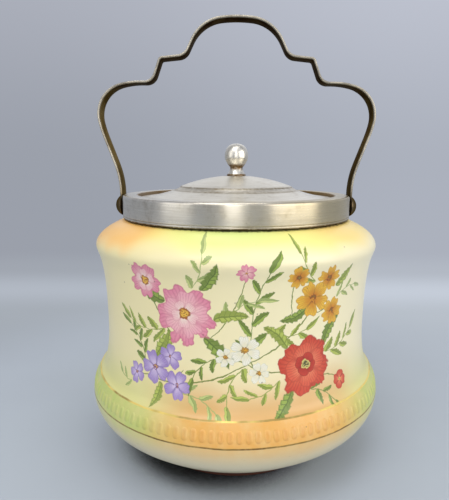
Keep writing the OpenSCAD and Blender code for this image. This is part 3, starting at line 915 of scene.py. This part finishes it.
# Sprays: s, t, angle, length, bend (mm), leaves, leaf length, colours
SPRAYS = [(7, 68, 80, 37, 3.0, 9, 9.5, "deep"), (3, 63, -112, 17, -2.0, 5, 7.5, "olive"),
          (-31, 78, 176, 20, 2.4, 7, 8.0, "olive"), (-17, 97, 74, 15, -1.6, 5, 7.0, "pale"),
          (42, 66, 22, 19, -2.2, 7, 8.5, "olive"), (33, 51, -32, 15, 1.8, 5, 7.0, "deep"),
          (47, 90, 14, 13, 1.4, 5, 6.0, "pale"), (33, 99, 122, 14, 1.4, 5, 6.5, "olive"),
          (-42, 62, 122, 17, -2.0, 7, 7.0, "deep"), (-23, 51, -24, 17, 2.0, 5, 7.5, "pale"),
          (-4, 83, 34, 16, 2.0, 5, 7.5, "pale"), (16, 77, 4, 15, -1.6, 5, 7.5, "olive"),
          (-9, 67, 226, 13, -1.4, 5, 7.0, "deep"), (18, 57, 208, 14, 1.6, 5, 7.0, "olive"),
          (-50, 50, 168, 8, 0.8, 3, 5.0, "pale")]

# Single leaves that lie under the flowers: s, t, angle, length, bend (mm), colours
LEAVES = [(-13, 76, -52, 17, 1.6, "deep"), (-26, 76, 232, 16, -1.5, "olive"),
          (-9, 84, 4, 15, 1.3, "olive"), (-30, 90, 150, 16, 1.4, "deep"),
          (-14, 96, 58, 14, -1.2, "deep"), (24, 53, 232, 15, 1.4, "deep"),
          (22, 71, 138, 15, -1.4, "olive"), (40, 70, 52, 15, 1.4, "deep"),
          (-33, 54, 250, 12, 1.2, "olive"), (-32, 67, 74, 12, -1.2, "olive"),
          (30, 87, 200, 13, 1.2, "deep"), (45, 95, 48, 12, -1.0, "olive")]

# What each kind of flower sets, in this order
LOOK = ("Tip", "Heart", "Shade", "Eye", "Rim", "Petals", "Cut", "Notch", "Eye size")
KINDS = {
    "rose": ("e58ea6", "f6c9c4", "b84a6a", "e3b13c", "b8742c", 5, 0.36, 0.14, 0.17),
    "rose_mid": ("f0aebb", "f9d5cb", "c25a76", "e3b13c", "b8742c", 5, 0.32, 0.10, 0.24),
    "rose_inner": ("f6c6c8", "fdeedd", "c8667c", "ecc04c", "a8642a", 5, 0.30, 0.06, 0.40),
    "poppy": ("cf4a32", "e87c56", "8c221c", "4c4426", "d8c06a", 4, 0.26, 0.08, 0.20),
    "poppy_mid": ("de6145", "ee8f68", "9c2a20", "4c4426", "d8c06a", 4, 0.26, 0.06, 0.20),
    "poppy_inner": ("c93f2c", "a82c22", "6e1a18", "3f4424", "d6c878", 4, 0.22, 0.05, 0.42),
    "gold": ("ecbc3c", "cf8420", "98561a", "8a7a2c", "8a4c1a", 5, 0.40, 0.16, 0.20),
    "violet": ("a78fca", "d6c4e4", "6b5a9c", "e8b83c", "7a4a80", 5, 0.42, 0.08, 0.18),
    "white": ("f7f4e6", "efe8c8", "a9ac80", "e0a634", "a07a34", 6, 0.44, 0.08, 0.24),
}

# Flowers: s, t, radius, turn, kind
BLOOMS = [(-39, 98, 8.6, 20, "rose"), (-39, 98, 5.2, 56, "rose_inner"), (4, 104, 4.0, 0, "rose"),
          (-21, 85, 14.2, 8, "rose"), (-21, 85, 10.8, 44, "rose_mid"),
          (-21, 85.5, 6.4, 12, "rose_inner"), (25, 101, 5.2, 70, "gold"), (44, 84, 6.6, 30, "gold"),
          (40, 99, 6.2, 50, "gold"), (33, 91, 8.6, 12, "gold"), (51, 51, 4.6, 30, "poppy"),
          (31, 62, 13.8, 18, "poppy"), (31, 62.3, 10.0, 62, "poppy_mid"),
          (31, 62.5, 5.4, 20, "poppy_inner"), (10, 61, 5.0, 20, "white"),
          (-4, 68, 4.6, 50, "white"), (4, 71, 6.8, 8, "white"), (-47, 55, 5.2, 10, "violet"),
          (-28, 66, 5.8, 50, "violet"), (-25, 54, 6.8, 28, "violet"), (-36, 60, 8.0, 6, "violet")]


def printed(g, spot, colour):
    """Lays the garland over a colour and returns the new colour.

    Each stamp's place is tied to the colour under it by a share too small to see, so that
    the renderer works through the stamps one at a time and never holds them all at once.
    """
    def stamp(tree, under, s, t, turn, length, width, values):
        tied = g.vector("MULTIPLY_ADD", under, (1e-7, 1e-7, 0), spot)
        place = g.node("Mapping", {"Vector": tied, "Location": (s, t, 0),
                                   "Rotation": (0, 0, math.radians(turn)),
                                   "Scale": (length, width, 1)}, vector_type="TEXTURE")
        return g.node("Group", {"Under": under, "Place": place.outputs[0], **values},
                      node_tree=tree).outputs[0]

    def greens(name):
        return dict(zip(("Light", "Dark"), GREENS[name]))

    for s, t, turn, length, half, bend in STEMS:
        colour = stamp(STEM, colour, s, t, turn, length, half,
                       {"Bend": bend / half, **greens("stem")})
    for s, t, turn, length, bend, leaves, leaf, green in SPRAYS:
        colour = stamp(SPRAY, colour, s, t, turn, length, 1,
                       {"Bend": bend, "Length": length, "Pairs": (leaves - 1) / 2, "Leaf": leaf,
                        **greens(green)})
    for s, t, turn, length, bend, green in LEAVES:
        half = length * LEAF_HALF
        colour = stamp(LEAF, colour, s, t, turn, length, half,
                       {"Bend": bend / half, **greens(green)})
    wave, grain = g.noise(spot, 0.24, 1.0), g.noise(spot, 1.5, 1.0)
    for s, t, size, turn, kind in BLOOMS:
        look = dict(zip(LOOK, KINDS[kind]))
        colour = stamp(BLOOM, colour, s, t, turn, size, size,
                       {**look, "Wave": wave, "Grain": grain})
    return colour


def wall_place(g, place, x, y, z):
    """Place along the wall in mm, the same on the back as on the front, gently wavering."""
    front = g.math("ARCTAN2", x, g.times(y, -1.0))
    back = g.math("ARCTAN2", g.times(x, -1.0), y)
    is_back = g.math("GREATER_THAN", y, 0.0)
    turn = g.plus(g.times(front, g.inverse(is_back)), g.times(back, is_back))
    waver = g.node("TexNoise", {"Vector": place, "Scale": 0.35, "Detail": 2.0})
    shift = g.vector("SUBTRACT", waver.outputs["Color"], (0.5, 0.5, 0.5))
    shift = g.node("VectorMath", {0: shift, 3: 1.5}, operation="SCALE").outputs[0]
    return g.vector("ADD", g.combine(g.times(turn, PRINT_R), z), shift)


# ---- glaze


def glaze(with_print):
    """Ivory glaze with blushes, band, gilt lines and wear; green towards the sides.

    The jar gets the print and the beads get pigment in their hollows.
    """
    material, g, shader = new_material("printed_glaze" if with_print else "bead_glaze")
    place, x, y, z, radius = object_mm(g)
    angle = g.math("ARCTAN2", x, g.times(y, -1.0))
    twice = g.math("COSINE", g.times(angle, 2.0))
    low_twice = g.math("COSINE", g.scaled(angle, 2.0, -0.35))
    soft = g.noise(place, 0.028, 2.0, 0.5)
    drift = g.scaled(soft, 14.0, -7.0)
    zz = g.plus(z, drift)
    around = g.scaled(soft, 0.5, g.times(twice, -1.0))
    low_around = g.scaled(soft, 0.5, g.times(low_twice, -1.0))
    side = g.ramp(low_around, -0.6, 0.5)

    # Ground, blushes and the embossed band
    ivory = g.mix(g.ramp(x, -60, 60), "f3e7b3", "f9f0ca")
    low_blush = g.mix(side, "dcaa64", "d6d48c")
    base = g.mix(g.times(g.fall(zz, 43, 66), 0.9), ivory, low_blush)
    middle = g.mix(g.ramp(g.plus(around, g.times(x, 0.002)), -0.85, -0.3), "e4f596", "fcf18c")
    warm = g.ramp(g.scaled(x, -0.003, around), -0.45, 0.35)
    warm = g.times(warm, g.scaled(g.ramp(x, 15, 60), -0.6, 1.0))
    high_blush = g.mix(warm, middle, "fdc468")
    high = g.ramp(g.scaled(warm, 1.2, zz), 107.3, 115.2)
    base = g.mix(g.times(high, 0.92), base, high_blush)
    if with_print:
        base = printed(g, wall_place(g, place, x, y, z), base)
    band = g.mix(side, "e7ae58", "bfcb74")
    patchy = g.ramp(g.noise(place, 0.16, 3.0, 0.6), 0.35, 0.75)
    band = g.mix(g.times(patchy, 0.35), band, "e8cf94")
    base = g.mix(g.fall(z, BAND_Z - 0.3, BAND_Z + 0.3), base, band)
    below = g.mix(g.ramp(g.scaled(drift, 0.3, z), 22, 33), "dcd2b2", g.mix(0.6, "e2d2a2", band))
    base = g.mix(g.fall(z, BELLY_Z - 0.3, BELLY_Z + 0.1), base, below)

    # Pigment in the beads' hollows
    if not with_print:
        phase = g.fraction(g.times(angle, BEADS / TAU))
        heart = g.absolute(g.minus(phase, 0.5))
        heart = g.times(g.fall(heart, 0.06, 0.30),
                        g.line(z, BELLY_Z + ROW_UP + ROW_H / 2, 1.6, 1.2))
        base = g.mix(g.times(heart, 0.3), base, g.mix(side, "d28a42", "9aaa58"))

    # Gilt lines, worn thin in places
    wobble = g.scaled(g.noise(place, 0.12, 2.0), 0.5, -0.25)
    zw = g.plus(z, wobble)
    thin = g.ramp(g.noise(place, 0.45, 4.0, 0.65), 0.32, 0.55)
    gilt = g.largest(g.line(zw, BAND_Z + 0.1, 0.17, 0.17), g.line(zw, BELLY_Z, 0.24, 0.2))
    gilt = g.times(gilt, g.scaled(thin, 0.35, 0.6))
    # Patches of brighter gold, most on the upper line: partly worn gilt, partly painted glints
    glint = g.scaled(g.ramp(g.noise(place, 0.055, 2.0), 0.40, 0.56), 0.65, 0.35)
    glint = g.times(glint, g.scaled(g.ramp(z, 38.0, 39.0), 0.8, 0.2))
    gold = g.mix(glint, "66451a", "fbe07c")
    base = g.mix(gilt, base, gold)

    # Plain glaze on the inner wall
    normal = g.node("TexCoord").outputs["Normal"]
    outward = g.vector("DOT_PRODUCT", g.vector("MULTIPLY", place, (1, 1, 0)), normal)
    outer = g.ramp(g.over(outward, radius), -0.06, 0.0)
    base = g.mix(outer, g.mix(g.ramp(soft, 0.3, 0.7), "ece2c4", "f3ebd2"), base)
    gilt = g.times(gilt, outer)

    # Bare clay at the foot, darkened partly as painted shade, and a dark band under the collar,
    # partly soot and partly painted shade of the gap
    foot_clay_and_shade = g.times(g.fall(z, 2.4, 4.2), g.ramp(radius, 20, 40))
    base = g.mix(foot_clay_and_shade, base, "4c281c")
    rough_edge = g.scaled(g.noise(place, 0.5, 3.0, 0.6), 1.0, -0.5)
    soot_and_shade = g.times(g.ramp(g.plus(z, rough_edge), NECK_Z - 0.85, NECK_Z - 0.25), 0.93)
    base = g.mix(g.times(soot_and_shade, outer), base, "33261a")

    # Scuffs under the belly, and specks all over
    marks = g.combine(g.times(angle, 14.0), g.times(z, 1.6))
    mark = g.times(g.ramp(g.noise(marks, 1.0, 4.0, 0.75), 0.62, 0.71), g.line(z, 21, 4, 6))
    base = g.mix(g.times(mark, 0.5), base, "8a7650")
    speck = g.dots(place, 0.11, 0.028, 0.045)
    base = g.mix(g.times(speck, 0.55), base, "6b5a3c")
    rough = g.scaled(g.noise(place, 0.25, 3.0), 0.10, 0.33)
    rough = g.scaled(foot_clay_and_shade, 0.5, rough)
    ripple = g.noise(place, 0.18, 3.0, 0.5)
    g.fill(shader, {"Base Color": base, "Metallic": g.times(gilt, 0.5), "Roughness": rough,
                    "Coat Weight": 0.35, "Coat Roughness": 0.2,
                    "Normal": g.bump(0.10, 0.0006, ripple)})
    return material


paint(jar, glaze(True))
paint(beads, glaze(False))

# ---- floor, world and lamps

FLOOR_RINGS = [6000, 4000, 2000, 1000, 500, 250, 120, 0]
FLOOR_DROP = 0.0002
HAZE = "a3a8b3"
# The backdrop's tone by the distance behind the jar, in metres; the lighter band near 0.29 m is
# painted light
BACKDROP = [(0.14, "acb3bc"), (0.205, "afb6bf"), (0.29, "bbc2cd"), (0.40, "aab0ba"),
            (0.56, HAZE), (1.0, HAZE)]
# Painted contact shadow in the nook under the belly, from an occlusion node: how far it looks for
# walls, in metres, and which way it leans
PAINTED_SHADOW_REACH, PAINTED_SHADOW_LEAN = 0.025, (0.3, 0.3, 0.9)


def light_path(g):
    """1 for rays that show the backdrop: camera, mirror and glass rays."""
    path = g.node("LightPath")
    shown = g.plus(path.outputs["Is Camera Ray"], path.outputs["Is Glossy Ray"])
    return g.plus(shown, path.outputs["Is Transmission Ray"], clamp=True)


def to_the_right(g, across):
    """Brightness of the backdrop, from its darker left to its lighter right."""
    return g.scaled(g.ramp(across, -0.42, 0.42), 0.23, 0.895)


def floor():
    """Pale paper that takes the jar's shadow near by, with a painted contact shadow in the nook
    under the belly, and shows the backdrop's tone far off.
    """
    mesh = bpy.data.meshes.new("floor")
    bm = revolved([(r, 0) for r in FLOOR_RINGS], FLOOR_SIDES, closed=False)
    bm.to_mesh(mesh)
    bm.free()
    piece = bpy.data.objects.new("floor", mesh)
    piece.location.z = -FLOOR_DROP
    scene.collection.objects.link(piece)
    material, g, shader = new_material("floor_paper")
    place, x, y, _, radius = object_mm(g)
    paper = g.mix(g.noise(place, 0.02, 3.0), "abb3bf", "b0b9c5")
    # Painted contact shadow: the paper turns near black where the jar is close by
    painted_shadow = g.node("AmbientOcclusion", {"Distance": PAINTED_SHADOW_REACH, "Normal": g.combine(*PAINTED_SHADOW_LEAN)},
                  samples=16)
    paper = g.mix(g.ramp(painted_shadow.outputs["AO"], 0.11, 0.28), "14120f", paper)
    g.fill(shader, {"Base Color": paper, "Roughness": 0.75, "Specular IOR Level": 0.2})
    tone = g.node("ValToRGB", {0: g.over(y, 1000.0, clamp=True)})
    stops = tone.color_ramp.elements
    tone.color_ramp.interpolation = "EASE"
    stops[0].position, stops[1].position = BACKDROP[0][0], BACKDROP[-1][0]
    for position, _ in BACKDROP[1:-1]:
        stops.new(position)
    for stop, (_, code) in zip(stops, BACKDROP):
        stop.color = linear(code)
    tone = g.mix(g.ramp(radius, 350, 1100), tone.outputs[0], HAZE)
    glow = g.node("Emission", {"Color": tone, "Strength": to_the_right(g, g.over(x, radius))})
    far = g.times(g.ramp(radius, 150, 290), light_path(g))
    blend = g.node("MixShader", {0: far, 1: shader.outputs[0], 2: glow.outputs[0]})
    g.put(material.node_tree.nodes["Material Output"].inputs["Surface"], blend.outputs[0])
    paint(piece, material)


floor()


def world():
    """A soft dome of light; camera and mirror rays see the plain backdrop in its place."""
    made = bpy.data.worlds.new("studio")
    scene.world = made
    made.use_nodes = True
    g = Graph(made.node_tree)
    direction = g.node("TexCoord").outputs["Generated"]
    across, _, up = g.split(direction)
    seen = g.mix(g.ramp(up, -0.02, 0.42), HAZE, "b8bcc8")
    seen = g.mix(1.0, seen, to_the_right(g, across), "MULTIPLY")
    lit = g.mix(g.ramp(up, -0.05, 0.45), "505257", "d6d6d6")
    colour = g.mix(light_path(g), lit, seen)
    g.fill(made.node_tree.nodes["Background"], {"Color": colour, "Strength": 1.0})


world()

LAMPS_AIM, LAMP_POWER = Vector((0, 0, 0.1)), 4
# Name, azimuth (0 in front, positive to the right), elevation, distance, size, radiance, colour
LAMPS = [("lamp_left", -58, 15, 1.3, (0.72, 0.95), 0.75, "fffcf6"),
         ("lamp_front", -2.5, 15, 1.3, (0.37, 0.95), 1.6, "fffcf6"),
         ("lamp_right", 57, 14, 1.3, (1.15, 0.95), 1.58, "fffaf2"),
         ("lamp_high", -30, 52, 1.3, (0.7, 0.4), 2.6, "ffffff"),
         ("lamp_top", -10, 80, 1.1, (0.7, 0.7), 1.2, "ffffff"),
         ("lamp_back", 180, 30, 1.6, (1.6, 1.1), 0.28, "ffffff")]

for name, azimuth, elevation, distance, size, radiance, colour in LAMPS:
    box = bpy.data.lights.new(name, "AREA")
    box.shape = "RECTANGLE"
    box.size, box.size_y = size
    box.energy = radiance * LAMP_POWER * size[0] * size[1]
    box.color = linear(colour)[:3]
    lamp = bpy.data.objects.new(name, box)
    scene.collection.objects.link(lamp)
    a, e = math.radians(azimuth), math.radians(elevation)
    away = Vector((math.cos(e) * math.sin(a), -math.cos(e) * math.cos(a), math.sin(e)))
    lamp.location = LAMPS_AIM + away * distance
    lamp.rotation_mode = "QUATERNION"
    lamp.rotation_quaternion = (-away).to_track_quat("-Z", "Y")
    lamp.visible_camera = False

scene.view_settings.view_transform = "Standard"
